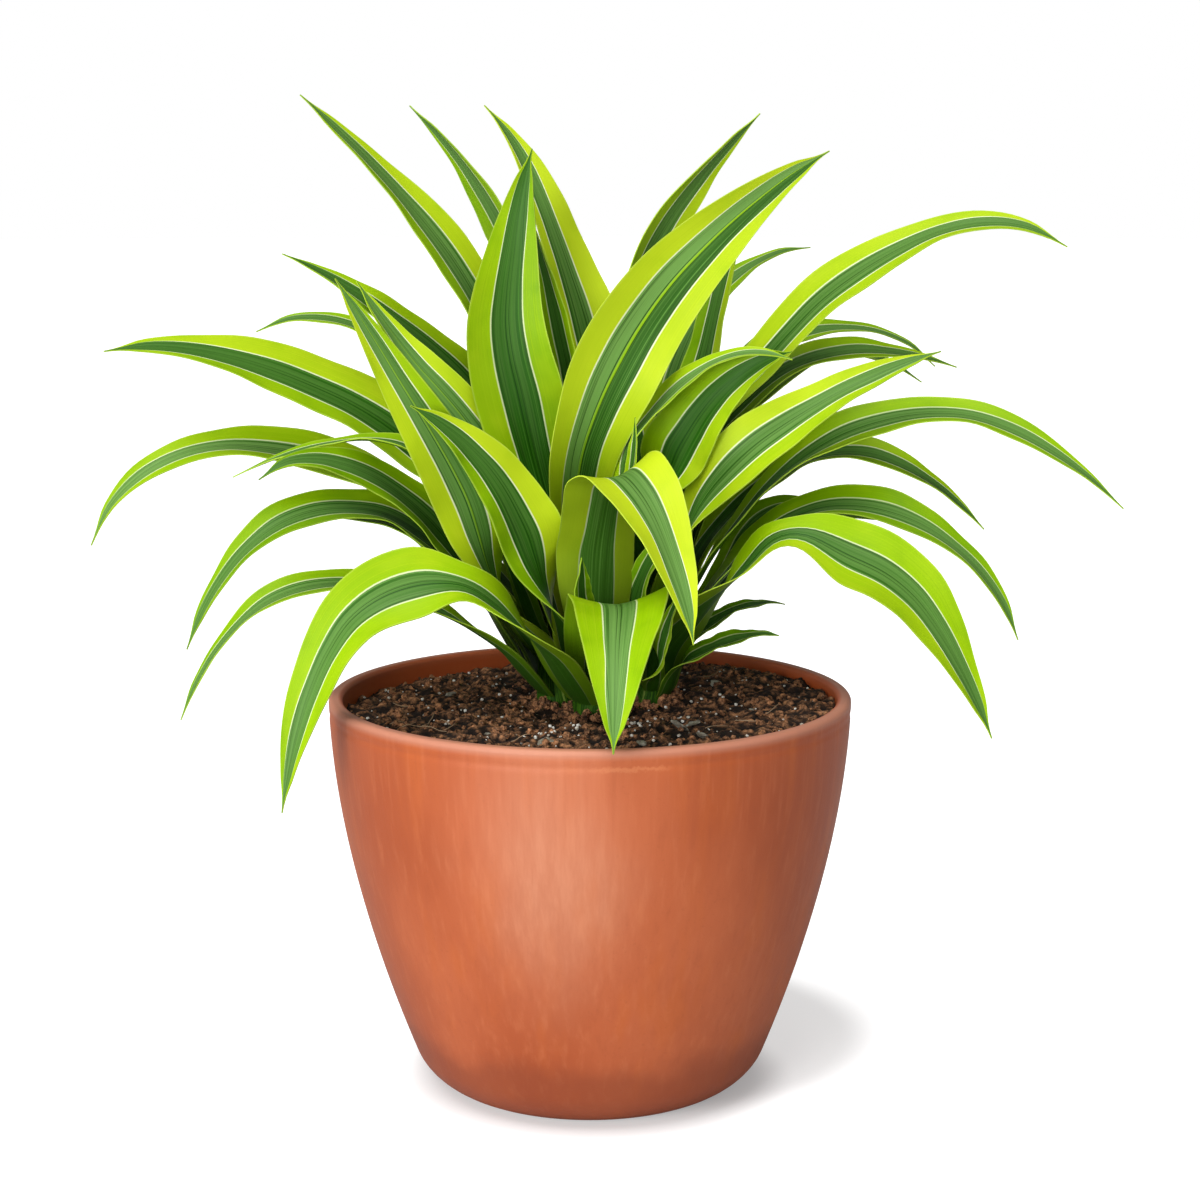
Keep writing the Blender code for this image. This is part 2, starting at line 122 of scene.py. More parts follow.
def between(tree, value, low, high, to_low=0.0, to_high=1.0):
    """Maps a value from low..high to to_low..to_high along a smooth step."""
    inputs = {"Value": value, "From Min": low, "From Max": high, "To Min": to_low, "To Max": to_high}
    return add_node(tree, "MapRange", inputs, interpolation_type="SMOOTHSTEP").outputs["Result"]


bpy.ops.object.select_all(action="DESELECT")
bpy.ops.mesh.primitive_circle_add(
    vertices=96, radius=FLOOR_RADIUS, fill_type="NGON", location=(0, 0, -FLOOR_GAP)
)
floor = bpy.context.object
floor.name = "studio_floor"
paper_look = {"Base Color": PAPER, "Roughness": 0.9, "Specular IOR Level": 0.1, "Emission Color": WHITE}
paper, tree, shader = new_finish("white paper", paper_look)
seen = add_node(tree, "LightPath").outputs["Is Camera Ray"]
place = coordinates(tree)
# The glow dips in a soft round patch behind the pot and in a ring round its foot: a painted shadow.
from_painted_shadow = add_node(tree, "VectorMath", {0: place, 1: PAINTED_SHADOW_MIDDLE}, operation="DISTANCE").outputs["Value"]
painted_shadow_glow = between(tree, from_painted_shadow, 96 * MM, 124 * MM, 0.54, 0.86)
painted_foot_shadow = between(tree, length_of(tree, place), 74 * MM, 98 * MM, 0.5, 1)
glow = times(tree, seen, times(tree, painted_shadow_glow, painted_foot_shadow))
tree.links.new(glow, shader.inputs["Emission Strength"])
floor.data.materials.append(paper)

room = bpy.data.worlds.new("white room")
bpy.context.scene.world = room
room.use_nodes = True
walls = room.node_tree.nodes["Background"]
walls.inputs["Color"].default_value = WHITE
seen = add_node(room.node_tree, "LightPath").outputs["Is Camera Ray"]
brightness = add_node(room.node_tree, "MapRange", {"Value": seen, "To Min": ROOM_LIGHT, "To Max": 1.0})
room.node_tree.links.new(brightness.outputs["Result"], walls.inputs["Strength"])

bpy.ops.object.light_add(type="SUN", rotation=(math.radians(23), math.radians(-13), 0))
sun = bpy.context.object
sun.name = "wide_light"
sun.data.energy = 2.0
sun.data.angle = math.radians(38)


def add_panel(name, location, width, power):
    """A round lit panel that faces the plant."""
    bpy.ops.object.light_add(type="AREA", location=location)
    panel = bpy.context.object
    panel.name = name
    panel.data.shape = "DISK"
    panel.data.size = width
    panel.data.energy = power
    panel.rotation_euler = (LIT_POINT - panel.location).to_track_quat("-Z", "Y").to_euler()


add_panel("front_panel", (-0.95, -1.5, 0.5), width=0.9, power=18.5)
add_panel("fill_panel", (0.15, -1.9, 0.75), width=0.6, power=4.5)

bpy.context.scene.view_settings.view_transform = "Standard"
bpy.context.scene.view_settings.look = "None"


# ---- The pot -----------------------------------------------------------------------------------------------
# A flower pot of fired clay, turned in one piece: a rounded foot, a wall that flares to the rim, and a round
# lip over a faint groove. The clay is unglazed, with upright wipe marks, and is darker and redder low down.
# A pale patch in front is a painted highlight.

POT_HEIGHT = 184 * MM
RIM_RADIUS = 120 * MM
FOOT_RADIUS = 74.5 * MM
FOOT_ROUNDING = 17.5 * MM
WALL_TAPER = 1.73
WALL_THICKNESS = 6.5 * MM
FLOOR_THICKNESS = 9 * MM
LIP_ROUNDING = 2.2 * MM
GROOVE_LEVEL = 176.5 * MM
GROOVE_DEPTH = 0.35 * MM
GROOVE_SPREAD = 1.4 * MM
POT_SIDES = 128

DEEP_CLAY = (0.41, 0.082, 0.022)
WARM_CLAY = (0.53, 0.128, 0.044)
RED_CLAY = (0.55, 0.124, 0.026)
PALE_WIPE = (0.63, 0.190, 0.075)
DARK_WIPE = (0.38, 0.082, 0.026)
DARK_SPECKLE = (0.36, 0.082, 0.028)
DARK_FOOT = (0.24, 0.050, 0.019)
PALE_LINE = (0.70, 0.25, 0.10)
PALE_LIP = (0.58, 0.27, 0.18)
RED_INSIDE = (0.44, 0.080, 0.016)
HIGHLIGHT_CLAY = (0.76, 0.34, 0.20)
HIGHLIGHT_MIDDLE = (-0.012, -0.102, 0.138)


def wall_taper(height):
    """How much nearer to the axis the wall is than at the rim."""
    return (RIM_RADIUS - FOOT_RADIUS) * (1 - height / POT_HEIGHT) ** WALL_TAPER


def pot_outside(height):
    radius = RIM_RADIUS - wall_taper(height)
    if height < FOOT_ROUNDING:
        radius -= FOOT_ROUNDING - math.sqrt(FOOT_ROUNDING**2 - (FOOT_ROUNDING - height) ** 2)
    return radius - GROOVE_DEPTH * math.exp(-(((height - GROOVE_LEVEL) / GROOVE_SPREAD) ** 2))


def pot_inside(height):
    return RIM_RADIUS - WALL_THICKNESS - wall_taper(height)


def steps(start, end, count):
    return [start + (end - start) * k / count for k in range(count + 1)]


foot_levels = [FOOT_ROUNDING * (1 - math.cos(math.radians(turn))) for turn in range(0, 90, 9)]
wall_levels = steps(FOOT_ROUNDING, 172 * MM, 26) + steps(173.5 * MM, POT_HEIGHT - LIP_ROUNDING, 8)
pot_profile = [(pot_outside(level), level) for level in foot_levels + wall_levels]
lip_outside = RIM_RADIUS - LIP_ROUNDING
lip_inside = RIM_RADIUS - WALL_THICKNESS + LIP_ROUNDING
for middle, first, last in ((lip_outside, 0, 90), (lip_inside, 90, 180)):
    for turn in map(math.radians, steps(first, last, 6)):
        level = POT_HEIGHT - LIP_ROUNDING + LIP_ROUNDING * math.sin(turn)
        pot_profile.append((middle + LIP_ROUNDING * math.cos(turn), level))
inner_levels = steps(POT_HEIGHT - 2 * LIP_ROUNDING, FLOOR_THICKNESS, 16)
pot_profile += [(pot_inside(level), level) for level in inner_levels]

bpy.ops.object.select_all(action="DESELECT")
bpy.ops.mesh.primitive_circle_add(vertices=POT_SIDES, radius=pot_profile[0][0], fill_type="NGON")
pot = bpy.context.object
pot.name = "clay_pot"
bpy.ops.object.mode_set(mode="EDIT")
bpy.ops.mesh.select_mode(type="EDGE")
bpy.ops.mesh.select_all(action="SELECT")
for (radius, level), (next_radius, next_level) in zip(pot_profile, pot_profile[1:]):
    bpy.ops.mesh.extrude_edges_move(TRANSFORM_OT_translate={"value": (0, 0, next_level - level)})
    growth = next_radius / radius
    bpy.ops.transform.resize(value=(growth, growth, 1), center_override=(0, 0, next_level))
bpy.ops.mesh.edge_face_add()
bpy.ops.mesh.select_all(action="SELECT")
bpy.ops.mesh.normals_make_consistent(inside=False)
bpy.ops.object.mode_set(mode="OBJECT")
bpy.ops.object.shade_smooth_by_angle(angle=math.radians(50))


def plus(tree, first, second):
    return maths(tree, "ADD", first, second)


def minus(tree, first, second):
    return maths(tree, "SUBTRACT", first, second)


def swing(tree, pattern, width):
    """A pattern from 0 to 1, turned into a shift to either side of nothing."""
    return times(tree, minus(tree, pattern, 0.5), width)


def stretched(tree, vector, factors):
    """Coordinates stretched by a factor along each axis."""
    return add_node(tree, "VectorMath", {0: vector, 1: factors}, operation="MULTIPLY").outputs["Vector"]


def grain(tree, vector, scale, detail=3.0, roughness=0.55):
    inputs = {"Vector": vector, "Scale": scale, "Detail": detail, "Roughness": roughness}
    return add_node(tree, "TexNoise", inputs).outputs["Fac"]


def mix_colours(tree, share, first, second, **settings):
    """The first colour with a share of the second."""
    made = add_node(tree, "Mix", {0: share}, data_type="RGBA", **settings)
    for socket, colour in ((made.inputs[6], first), (made.inputs[7], second)):
        if isinstance(colour, bpy.types.NodeSocket):
            tree.links.new(colour, socket)
        else:
            socket.default_value = (*colour, 1)
    return made.outputs[2]


def lay_over(tree, colour, *coats):
    """A colour under coats of others, each given as its share and its own colour."""
    for share, coat in coats:
        colour = mix_colours(tree, share, colour, coat)
    return colour


def emboss(tree, shader, relief, strength, depth):
    """Raises a pattern from the surface as fine bumps."""
    bump = add_node(tree, "Bump", {"Height": relief, "Strength": strength, "Distance": depth})
    tree.links.new(bump.outputs["Normal"], shader.inputs["Normal"])


clay, tree, shader = new_finish("fired clay", {"Specular IOR Level": 0.3})
place = coordinates(tree)
height = add_node(tree, "SeparateXYZ", {0: place}).outputs["Z"]
from_axis = length_of(tree, stretched(tree, place, (1, 1, 0)))
cloud = grain(tree, stretched(tree, place, (1, 1, 0.7)), 13, 3, 0.5)
wipes = grain(tree, stretched(tree, place, (1, 1, 0.05)), 260, 3, 0.6)
broad_wipes = grain(tree, stretched(tree, place, (1, 1, 0.12)), 60, 2, 0.5)
pores = grain(tree, place, 1400, 2, 0.6)
speckle = grain(tree, place, 420, 3, 0.7)
ragged = grain(tree, place, 26, 3, 0.55)

ragged_height = plus(tree, height, swing(tree, ragged, 30 * MM))
speckled_height = plus(tree, height, swing(tree, speckle, 5 * MM))
above_line = between(tree, speckled_height, 174.2 * MM, 175.6 * MM)
below_line = between(tree, speckled_height, 177.2 * MM, 176 * MM)
line = times(tree, times(tree, above_line, below_line), between(tree, cloud, 0.52, 0.66, 0, 0.4))
wall_inside = times(
    tree, between(tree, from_axis, 116.2 * MM, 114.2 * MM), between(tree, height, 150 * MM, 160 * MM)
)
# A painted highlight: a pale patch on the front of the wall, where the front light would shine.
from_highlight = add_node(tree, "VectorMath", {0: place, 1: HIGHLIGHT_MIDDLE}, operation="SUBTRACT").outputs["Vector"]
from_highlight = plus(tree, length_of(tree, stretched(tree, from_highlight, (1, 1, 0.6))), swing(tree, cloud, 70 * MM))
painted_highlight = times(tree, between(tree, from_highlight, 58 * MM, 4 * MM), between(tree, wipes, 0.25, 0.75, 0.42, 0.58))

colour = lay_over(
    tree,
    mix_colours(tree, between(tree, cloud, 0.32, 0.68), DEEP_CLAY, WARM_CLAY),
    (between(tree, broad_wipes, 0.50, 0.72, 0, 0.5), RED_CLAY),
    (between(tree, wipes, 0.48, 0.80, 0, 0.28), PALE_WIPE),
    (between(tree, wipes, 0.48, 0.24, 0, 0.25), DARK_WIPE),
    (between(tree, speckle, 0.58, 0.72, 0, 0.22), DARK_SPECKLE),
    (between(tree, ragged_height, 42 * MM, 24 * MM, 0, 0.55), DARK_FOOT),
    (line, PALE_LINE),
    (between(tree, height, 179 * MM, 183 * MM, 0, 0.7), PALE_LIP),
    (times(tree, wall_inside, 0.8), RED_INSIDE),
    (painted_highlight, HIGHLIGHT_CLAY),
)
tree.links.new(colour, shader.inputs["Base Color"])
roughness = plus(tree, between(tree, cloud, 0.3, 0.7, 0.40, 0.50), times(tree, pores, 0.1))
tree.links.new(roughness, shader.inputs["Roughness"])
relief = plus(tree, times(tree, pores, 0.5), times(tree, wipes, 0.8))
relief = plus(tree, relief, times(tree, speckle, 0.5))
emboss(tree, shader, relief, strength=0.35, depth=0.25 * MM)
pot.data.materials.append(clay)
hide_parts("pot")
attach(pot, "root")


# ---- The soil ----------------------------------------------------------------------------------------------
# Damp potting mix of peat and bark, filled in loosely to just under the rim: low at the back left, heaped at
# the back right and hollow round the shoots. Its top is all crumbs, with finer and finer ones between them,
# and the dips between the crumbs are darkened with painted shade.

SOIL_LEVEL = 176.5 * MM
SOIL_DEPTH = 14 * MM
SOIL_GAP = 0.3 * MM
SOIL_CELLS = 236
SLOPE_RISE = 2.0 * MM
HEAP_RISE = 3.0 * MM
HEAP_PLACE = (0.065, 0.055)
HEAP_SPREAD = 0.035
HOLLOW_DEPTH = 4.0 * MM
HOLLOW_SPREAD = 0.34
LUMP_RISE = 0.8 * MM
# How wide each size of crumb is and how far it stands up, in mm.
CRUMB_LAYERS = ((6.0, 1.7), (2.9, 1.5), (1.5, 0.9))

DARK_PEAT = (0.036, 0.016, 0.007)
DRY_PEAT = (0.600, 0.275, 0.125)
DAMP_PATCH = (0.030, 0.016, 0.009)
FIBRE = (0.36, 0.22, 0.13)
PALE_FINES = (0.60, 0.50, 0.40)
PAINTED_DIP_SHADE = (0.006, 0.003, 0.002)


def soil_lie(x, y):
    """Height of the soil without its crumbs."""
    reach = math.hypot(x, y) / RIM_RADIUS
    slope = SLOPE_RISE * (x - 0.6 * y) / RIM_RADIUS
    heap_x, heap_y = (x - HEAP_PLACE[0]) / HEAP_SPREAD, (y - HEAP_PLACE[1]) / HEAP_SPREAD
    heap = HEAP_RISE * math.exp(-(heap_x**2 + heap_y**2))
    hollow = HOLLOW_DEPTH * math.exp(-((reach / HOLLOW_SPREAD) ** 2))
    lumps = math.sin(331 * x + 2.1 * math.sin(197 * y)) + math.sin(277 * y + 1.7 * math.sin(241 * x + 1.3))
    return SOIL_LEVEL + slope + heap - hollow + LUMP_RISE * lumps


def soil_top(x, y):
    """Height of the soil's crumbly surface."""
    height = soil_lie(x, y)
    for size, rise in CRUMB_LAYERS:
        spot = Vector((x, y, 0.13 * size)) / (size * MM)
        nearest, _ = noise.voronoi(spot, distance_metric="DISTANCE")
        height += rise * MM * (0.55 - min(nearest[0], 1.0))
    return height + 0.5 * MM * noise.noise(Vector((x, y, 0)) / (9 * MM))


def on_disc(a, b):
    """Where a point of a square from -1 to 1 lies when the square is rounded into a disc, with even cells."""
    if a * a > b * b:
        reach, turn = a, math.pi / 4 * b / a
    elif b:
        reach, turn = b, math.pi / 2 - math.pi / 4 * a / b
    else:
        reach, turn = 0.0, 0.0
    return reach * math.cos(turn), reach * math.sin(turn)


bpy.ops.object.select_all(action="DESELECT")
bpy.ops.mesh.primitive_grid_add(x_subdivisions=SOIL_CELLS, y_subdivisions=SOIL_CELLS, size=2)
soil = bpy.context.object
soil.name = "potting_mix"
soil_edge = pot_inside(SOIL_LEVEL) - SOIL_GAP
for corner in soil.data.vertices:
    x, y = on_disc(corner.co.x, corner.co.y)
    corner.co = (x * soil_edge, y * soil_edge, soil_top(x * soil_edge, y * soil_edge))
bpy.ops.object.mode_set(mode="EDIT")
bpy.ops.mesh.select_all(action="DESELECT")
bpy.ops.mesh.select_mode(type="EDGE")
bpy.ops.mesh.select_non_manifold()
bpy.ops.mesh.extrude_edges_move(TRANSFORM_OT_translate={"value": (0, 0, -SOIL_DEPTH)})
soil_base = SOIL_LEVEL - SOIL_DEPTH
narrowing = (pot_inside(soil_base) - SOIL_GAP) / soil_edge
bpy.ops.transform.resize(value=(narrowing, narrowing, 0), center_override=(0, 0, soil_base))
bpy.ops.mesh.edge_face_add()
bpy.ops.mesh.select_all(action="SELECT")
bpy.ops.mesh.normals_make_consistent(inside=False)
bpy.ops.object.mode_set(mode="OBJECT")
bpy.ops.object.shade_smooth()

# The surface carries its own height over the soil's lie, in mm, so that the finish can paint shade into the
# dips.
height_up = soil.data.attributes.new("height_up", "FLOAT", "POINT")
for corner, value in zip(soil.data.vertices, height_up.data):
    x, y, z = corner.co
    value.value = (z - soil_lie(x, y)) / MM


def unsigned(tree, value):
    return maths(tree, "ABSOLUTE", value)


peat, tree, shader = new_finish("potting mix", {"Roughness": 0.9, "Specular IOR Level": 0.3})
place = coordinates(tree)
patches = grain(tree, place, 45, 3, 0.6)
crumbs = grain(tree, place, 330, 4, 0.7)
fines = grain(tree, place, 1500, 3, 0.7)
threads = grain(tree, stretched(tree, place, (1, 0.25, 1)), 700, 2, 0.5)
up = add_node(tree, "Attribute", attribute_name="height_up").outputs["Fac"]
# The loose crumbs share this finish. They have no such height, so it reads 0 on them, and no shade is
# painted into dips on them.
has_height = between(tree, unsigned(tree, up), 0.0, 0.002)
colour = lay_over(
    tree,
    mix_colours(tree, between(tree, crumbs, 0.36, 0.70), DARK_PEAT, DRY_PEAT),
    (between(tree, patches, 0.45, 0.7, 0, 0.5), DAMP_PATCH),
    (between(tree, threads, 0.64, 0.74, 0, 0.6), FIBRE),
    (between(tree, fines, 0.64, 0.72, 0, 0.7), PALE_FINES),
    # Painted shade, darkest in the dips between the crumbs.
    (times(tree, between(tree, up, 0.85, -0.2, 0, 0.95), has_height), PAINTED_DIP_SHADE),
)
tree.links.new(colour, shader.inputs["Base Color"])
emboss(tree, shader, plus(tree, crumbs, times(tree, fines, 0.6)), strength=0.9, depth=1.2 * MM)
soil.data.materials.append(peat)
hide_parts("soil")
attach(soil, "root")


# ---- What lies on the soil ---------------------------------------------------------------------------------
# Loose crumbs of peat, heaped a little round each shoot, white grains of perlite, a few flakes of grey bark
# and some dry straw, all scattered as they fell. Each kind is one piece. All but the straws are copies of one
# to three grains, turned and pressed in.

LOOSE_CRUMBS = 950
LOOSE_SIZES = (1.0, 1.4, 1.8, 2.4, 3.4)
HEAPED_CRUMBS = 100
SHOOTS = ("left", "front", "right")
CLUMP_PLACE = (0.005, 0.008)
CLUMP_RADIUS = 22 * MM

chance = random.Random(11)


def rough_grain(name, facets, unevenness, flatness):
    """A small knobbly grain, about one unit across."""
    bpy.ops.object.select_all(action="DESELECT")
    bpy.ops.mesh.primitive_ico_sphere_add(subdivisions=facets, radius=0.5)
    lump = bpy.context.object
    lump.name = name
    shift = Vector((chance.random(), chance.random(), chance.random())) * 9
    for corner in lump.data.vertices:
        corner.co *= 1 + unevenness * noise.noise(corner.co * 2.3 + shift)
        corner.co.z *= flatness
    return lump


def join_up(name, lumps):
    """Makes one piece of several, with the first one's settings."""
    bpy.ops.object.select_all(action="DESELECT")
    for lump in lumps:
        lump.select_set(True)
    bpy.context.view_layer.objects.active = lumps[0]
    bpy.ops.object.join()
    piece = bpy.context.object
    piece.name = name
    return piece


def scatter(name, grains, spots, finish):
    """One piece of copies of the grains, at spots of (x, y, size, sunk share)."""
    copies = []
    for x, y, size, sunk in spots:
        copy = chance.choice(grains).copy()
        copy.data = copy.data.copy()
        bpy.context.scene.collection.objects.link(copy)
        turn = Euler((chance.uniform(-0.5, 0.5), chance.uniform(-0.5, 0.5), chance.uniform(0, 6.28)))
        lift = Matrix.Translation((x, y, soil_top(x, y) + size * (0.35 - sunk)))
        copy.data.transform(lift @ turn.to_matrix().to_4x4() @ Matrix.Scale(size, 4))
        copies.append(copy)
    for lump in grains:
        bpy.data.objects.remove(lump)
    piece = join_up(name, copies)
    piece.data.materials.append(finish)
    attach(piece, "root")


def spot_on_soil(largest):
    """A random place on the soil, kept off the wall and out of the clump of shoots."""
    while True:
        reach = largest * math.sqrt(chance.random())
        turn = chance.uniform(0, 2 * math.pi)
        x, y = reach * math.cos(turn), reach * math.sin(turn)
        if math.hypot(x - CLUMP_PLACE[0], y - CLUMP_PLACE[1]) > CLUMP_RADIUS:
            return x, y


crumb_spots = []
for _ in range(LOOSE_CRUMBS):
    x, y = spot_on_soil(soil_edge - 2.5 * MM)
    crumb_spots.append((x, y, chance.choice(LOOSE_SIZES) * MM, 0.15))
for side in SHOOTS:
    low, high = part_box("stem_" + side)
    for _ in range(HEAPED_CRUMBS):
        turn = chance.uniform(0, 2 * math.pi)
        away = chance.uniform(0, 1)
        reach = (high.x - low.x) / 2 + (0.3 + 5.5 * away) * MM
        x = (low.x + high.x) / 2 + reach * math.cos(turn)
        y = (low.y + high.y) / 2 + reach * math.sin(turn)
        crumb_spots.append((x, y, chance.uniform(2.4, 4.6) * MM, chance.uniform(-1.3, 0) * (1 - away)))
crumb_shapes = [rough_grain("crumb", 2, *shape) for shape in ((0.9, 0.75), (1.1, 0.6), (0.8, 0.9))]
scatter("soil_crumbs", crumb_shapes, crumb_spots, peat)

PERLITE_GRAINS = 260
PERLITE_SIZES = (0.7, 0.8, 1.0, 1.2, 1.6)
PERLITE_CLUSTERS = ((-0.010, -0.042), (0.021, -0.036), (0.036, -0.024), (-0.018, -0.060))
CLUSTER_GRAINS = 9
WHITE_PERLITE = (0.80, 0.78, 0.72)
STAINED_PERLITE = (0.42, 0.36, 0.28)

perlite, tree, shader = new_finish("perlite", {"Roughness": 0.85})
place = coordinates(tree)
stain = grain(tree, place, 350, 2, 0.6)
colour = mix_colours(tree, between(tree, stain, 0.4, 0.65), WHITE_PERLITE, STAINED_PERLITE)
tree.links.new(colour, shader.inputs["Base Color"])
emboss(tree, shader, grain(tree, place, 2500, 2), strength=0.5, depth=0.2 * MM)
perlite_spots = []
for _ in range(PERLITE_GRAINS):
    x, y = spot_on_soil(soil_edge - 3 * MM)
    perlite_spots.append((x, y, chance.choice(PERLITE_SIZES) * MM, -0.1))
for middle_x, middle_y in PERLITE_CLUSTERS:
    for _ in range(CLUSTER_GRAINS):
        x, y = middle_x + chance.gauss(0, 5) * MM, middle_y + chance.gauss(0, 4) * MM
        perlite_spots.append((x, y, chance.uniform(0.9, 1.9) * MM, 0.0))
scatter("perlite_grains", [rough_grain("bead", 1, 0.5, 0.9)], perlite_spots, perlite)

# Each flake's place, and its width in mm.
FLAKES = ((-0.018, -0.078, 7.5), (0.022, -0.083, 5.5), (0.040, -0.050, 8.5),
          (0.046, -0.043, 6.0), (0.050, -0.070, 6.0), (-0.066, 0.030, 5.0),
          (0.075, -0.010, 4.5), (-0.045, -0.050, 4.0), (0.060, 0.040, 5.5))
DARK_BARK = (0.13, 0.105, 0.075)
GREY_BARK = (0.36, 0.34, 0.27)

bark, tree, shader = new_finish("grey bark", {"Roughness": 0.8})
flaking = grain(tree, stretched(tree, coordinates(tree), (1, 0.4, 1)), 420, 3, 0.6)
colour = mix_colours(tree, between(tree, flaking, 0.35, 0.65), DARK_BARK, GREY_BARK)
tree.links.new(colour, shader.inputs["Base Color"])
emboss(tree, shader, flaking, strength=0.8, depth=0.5 * MM)
flake_spots = [(x, y, width * MM, 0.2) for x, y, width in FLAKES]
flake_shapes = [rough_grain("flake", 2, 0.7, 0.35), rough_grain("flake", 2, 0.8, 0.3)]
scatter("bark_flakes", flake_shapes, flake_spots, bark)

# Each straw's middle, its length in mm and its heading in degrees.
STRAWS = ((-0.072, -0.030, 22, 80), (-0.066, -0.034, 18, 115), (-0.078, -0.040, 14, 40),
          (-0.070, -0.046, 16, 150), (-0.062, -0.042, 12, 70), (-0.084, -0.034, 12, 20),
          (0.056, -0.052, 13, 35), (0.083, -0.020, 15, 60), (0.070, -0.042, 11, 160),
          (-0.030, -0.070, 9, 30), (0.058, 0.058, 12, 20), (-0.088, 0.006, 12, 130))
STRAW_RADIUS = 0.2 * MM
DULL_STRAW = (0.22, 0.13, 0.07)
PALE_STRAW = (0.46, 0.32, 0.19)

straw, tree, shader = new_finish("dry straw", {"Roughness": 0.7})
colour = mix_colours(tree, grain(tree, coordinates(tree), 500, 2), DULL_STRAW, PALE_STRAW)
tree.links.new(colour, shader.inputs["Base Color"])
stalks = []
for number, (x, y, length, heading) in enumerate(STRAWS):
    way = Vector((math.cos(math.radians(heading)), math.sin(math.radians(heading)), 0))
    side = Vector((-way.y, way.x, 0))
    bpy.ops.object.select_all(action="DESELECT")
    bpy.ops.mesh.primitive_cylinder_add(vertices=6, radius=STRAW_RADIUS, depth=1)
    stalk = bpy.context.object
    bpy.ops.object.mode_set(mode="EDIT")
    for cut in (0.25, 0, -0.25):
        bpy.ops.mesh.select_all(action="SELECT")
        bpy.ops.mesh.bisect(plane_co=(0, 0, cut), plane_no=(0, 0, 1))
    bpy.ops.object.mode_set(mode="OBJECT")
    for corner in stalk.data.vertices:
        share = corner.co.z
        spot = Vector((x, y, 0)) + way * (share * length * MM)
        spot += side * (corner.co.x + 0.5 * MM * math.sin(3 * share + number))
        level = soil_lie(spot.x, spot.y) + (1.7 + 1.8 * share * math.cos(2.6 * number)) * MM
        corner.co = (spot.x, spot.y, level + corner.co.y)
    stalks.append(stalk)
straws = join_up("dry_straws", stalks)
bpy.ops.object.shade_smooth()
straws.data.materials.append(straw)
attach(straws, "root")


# ---- The leaves --------------------------------------------------------------------------------------------
# Long lance-shaped leaves, channelled along the middle and waved at the edges. Each has a dark band with fine
# lengthwise veins, a thin white line at either side of it, and a margin from fresh green to lime yellow.
# Each blade is a fine sheet drawn over its solid, from that solid's own corners.

BLADE_ACROSS = 12
BLADE_ALONG = 66
BLADE_THICKNESS = 0.5 * MM
BLADE_FLUTTER = 0.35 * MM

